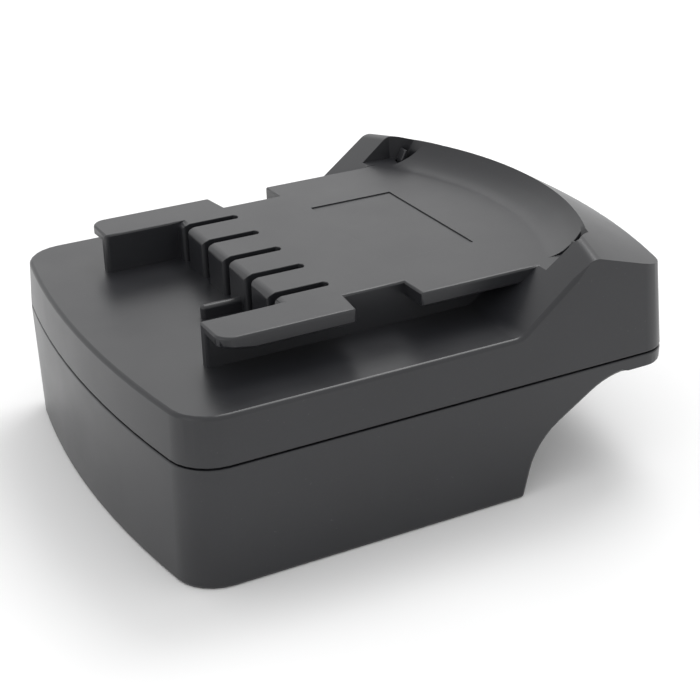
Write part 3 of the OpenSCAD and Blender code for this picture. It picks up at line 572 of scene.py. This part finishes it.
# Contact carrier and forks: a black comb moulding screwed up under the rail roof, with five stamped
# nickel-plated forks that grip the tool's blades behind the slots and are soldered into the board.
finished(softened("contact_carrier", 0.3 * MM), inner_plastic, "case", "contact_carrier")
for place in range(1, 6):
    node = f"tool_contact_{place}"
    finished(softened(node, 0.12 * MM), contact_metal, "case", node)

# Latch retainer: a black moulded bridge screwed to bosses under the hump that holds the springs'
# feet on two pegs.
finished(softened("latch_retainer", 0.3 * MM), inner_plastic, "case", "latch_retainer")

# Latch springs: two closed-end coils of spring steel wire between the retainer's pegs and the blind
# sockets in the latch bar; they shorten as the bar is pressed down.
spring_tree, given = shape_tree("spring", ("Coil Radius", "Float"), ("Wire Radius", "Float"), ("Height", "Float"),
                                ("Turns", "Float"), ("Dead Turns", "Float"))
coil = given["Geometry"].node("GeometryNodeCurveSpiral", Resolution=40, Rotations=given["Turns"],
                              Start_Radius=given["Coil Radius"], End_Radius=given["Coil Radius"],
                              Height=given["Height"])
dead = given["Dead Turns"] / given["Turns"]
climb = coil.node("GeometryNodeSplineParameter").ramp(dead, 1.0 - dead) * given["Height"]
rise = coil.node("ShaderNodeCombineXYZ", Z=climb - coil.node("GeometryNodeInputPosition").axis(2))
closed = coil.node("GeometryNodeSetPosition", Geometry=coil, Offset=rise)
ring = coil.node("GeometryNodeCurvePrimitiveCircle", Resolution=14, Radius=given["Wire Radius"])
tube = coil.node("GeometryNodeCurveToMesh", Curve=closed, Profile_Curve=ring, Fill_Caps=True)
end_tree(spring_tree, tube.node("GeometryNodeInstanceOnPoints", Points=given["Geometry"], Instance=tube),
         given["Material"])

spring_steel, steel_at, steel_shader = new_material("spring_steel")
oiled = steel_at.noise(500.0, 3.0, 0.6)
feed(steel_shader, Base_Color=oiled.between((0.30, 0.30, 0.31, 1.0), (0.46, 0.46, 0.47, 1.0)), Metallic=1.0,
     Roughness=0.22 + oiled * 0.14, Normal=steel_at.noise(3000.0).bumped(0.1, 0.01 * MM))
SPRING_WIRE_R = 0.3 * MM
SPRING_TURNS = 4.0
SPRING_DEAD_TURNS = 0.75
for side in ("left", "right"):
    node = "latch_spring_" + side
    lo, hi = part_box(node)
    foot = Vector(((lo.x + hi.x) / 2, (lo.y + hi.y) / 2, lo.z + SPRING_WIRE_R))
    spring = grown(node + "_skin", [foot], [], spring_tree, Coil_Radius=(hi.x - lo.x) / 2 - SPRING_WIRE_R,
                   Wire_Radius=SPRING_WIRE_R, Height=hi.z - lo.z - 2 * SPRING_WIRE_R, Turns=SPRING_TURNS,
                   Dead_Turns=SPRING_DEAD_TURNS, Material=spring_steel)
    finished(spring, spring_steel, "case", node)
    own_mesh(spring)

# Latch bar: a charcoal nylon bar under the rail roof whose two teeth stand up in the tower recesses;
# wedges behind it ride on the release button's arms.
finished(softened("latch_bar", 0.3 * MM), case_plastic, "latch", "latch_bar")

# Release button: a black moulded pad with a shallow finger dish, flush in the rear wall and kept in
# by its flange; pressing it drives the latch bar down.
button_plastic = moulded_plastic("button_plastic", (0.011, 0.011, 0.012), 0.40)
finished(softened("release_button", 0.4 * MM), button_plastic, "button", "release_button")

# Upper shell: the tool side, one moulding in the same charcoal nylon with the deck, the notched
# rail, the contact block and the scooped hump between two latch towers.
# It drops over the tongue of the lower shell and takes the six case screws in its bosses.
DECK_Z = 28.7
BLOCK_X = (-22.0, -8.0)
BLOCK_HALF_W = 20.5
PANEL_X = (2.0, 19.0)
PANEL_HALF_W = 14.6
FLANGE_Z = 32.5
RAIL_HALF_W = 28.6
HUMP_X = 20.0
RIM_X = 33.0
WALL_Y = 35.5
WALL_X = 42.0
SEAM_BAND = 0.5
DECK_BAND = 0.4


def upper_share(p):
    """The share of the radius: seam, inside, contact block, panel line, rail, hump rim and the rest."""
    if p.z < SEAM_Z + SEAM_BAND:
        return 0.2
    if p.z < DECK_Z - DECK_BAND and abs(p.y) < WALL_Y and p.x < WALL_X:
        return 0.0
    if BLOCK_X[0] < p.x < BLOCK_X[1] and abs(p.y) < BLOCK_HALF_W:
        return 0.12
    if PANEL_X[0] < p.x < PANEL_X[1] and abs(p.y) < PANEL_HALF_W:
        return 0.05
    if p.z > FLANGE_Z and p.x < HUMP_X and abs(p.y) < RAIL_HALF_W:
        return 0.35
    if p.x > RIM_X:
        return 1.0
    return 0.6


finished(softened("upper_shell", 1.0 * MM, upper_share), case_plastic, "case", "upper_shell")

# Screws: zinc-plated thread-forming steel screws with domed cross-recess heads, for the case, the
# board, the carrier, the terminal block and the retainer.
screw_steel, zinc_at, zinc_shader = new_material("screw_steel")
spangle = zinc_at.noise(1400.0, 3.0, 0.6)
feed(zinc_shader, Base_Color=spangle.between((0.50, 0.51, 0.53, 1.0), (0.64, 0.65, 0.66, 1.0)), Metallic=1.0,
     Roughness=0.24 + spangle * 0.16, Normal=zinc_at.noise(4000.0).bumped(0.1, 0.01 * MM))
for fixed in ("case", "board", "carrier", "terminal", "retainer"):
    node = fixed + "_screws"
    finished(softened(node), screw_steel, "case", node)

# Floor, light and camera: a plain white table in an even white tent, a broad soft light above and
# weaker ones from the front and the far side, seen through a long lens from above the near corner.
FLOOR_HALF = 3.0
floor_mesh = bpy.data.meshes.new("floor")
floor_mesh.from_pydata([(x * FLOOR_HALF, y * FLOOR_HALF, 0) for x, y in ((-1, -1), (1, -1), (1, 1), (-1, 1))],
                       [], [(0, 1, 2, 3)])
floor = new_object("floor", floor_mesh)
paper, _, paper_shader = new_material("paper")
feed(paper_shader, Base_Color=(0.92, 0.92, 0.92, 1.0), Roughness=0.9)
floor_mesh.materials.append(paper)


def area_light(name, place, target, size, power):
    light = bpy.data.lights.new(name, "AREA")
    light.shape = "RECTANGLE"
    light.size = size[0]
    light.size_y = size[1]
    light.energy = power
    obj = bpy.data.objects.new(name, light)
    obj.location = place
    obj.rotation_mode = "QUATERNION"
    obj.rotation_quaternion = (Vector(target) - Vector(place)).to_track_quat("-Z", "Y")
    bpy.context.scene.collection.objects.link(obj)


centre = (0.0, 0.0, 0.02)
area_light("key_above", (0.27, 0.18, 0.56), centre, (0.28, 0.28), 1.4)
area_light("front_left", (-0.57, -0.16, 0.25), centre, (0.4, 0.5), 0.28)
area_light("rim_far", (0.15, 0.60, 0.35), centre, (0.5, 0.2), 0.15)

world = bpy.data.worlds.new("studio")
world.use_nodes = True
tent = world.node_tree.nodes["Background"]
tent.inputs["Color"].default_value = (1.0, 1.0, 1.0, 1.0)
tent.inputs["Strength"].default_value = 0.95
bpy.context.scene.world = world
bpy.context.scene.view_settings.view_transform = "Standard"

CAMERA_PLACE = (-0.10943, -0.21940, 0.13109)
CAMERA_RIGHT = Vector((0.88468, -0.46545, -0.02643))
CAMERA_UP = Vector((0.22113, 0.36904, 0.90273))
camera = bpy.data.cameras.new("camera")
camera.lens = 81.71
camera.sensor_width = 36.0
camera.clip_start = 0.01
camera_obj = bpy.data.objects.new("camera", camera)
back = CAMERA_RIGHT.cross(CAMERA_UP).normalized()
up = back.cross(CAMERA_RIGHT).normalized()
turn = Matrix((CAMERA_RIGHT.normalized(), up, back)).transposed().to_4x4()
camera_obj.matrix_world = Matrix.Translation(CAMERA_PLACE) @ turn
bpy.context.scene.collection.objects.link(camera_obj)
bpy.context.scene.camera = camera_obj
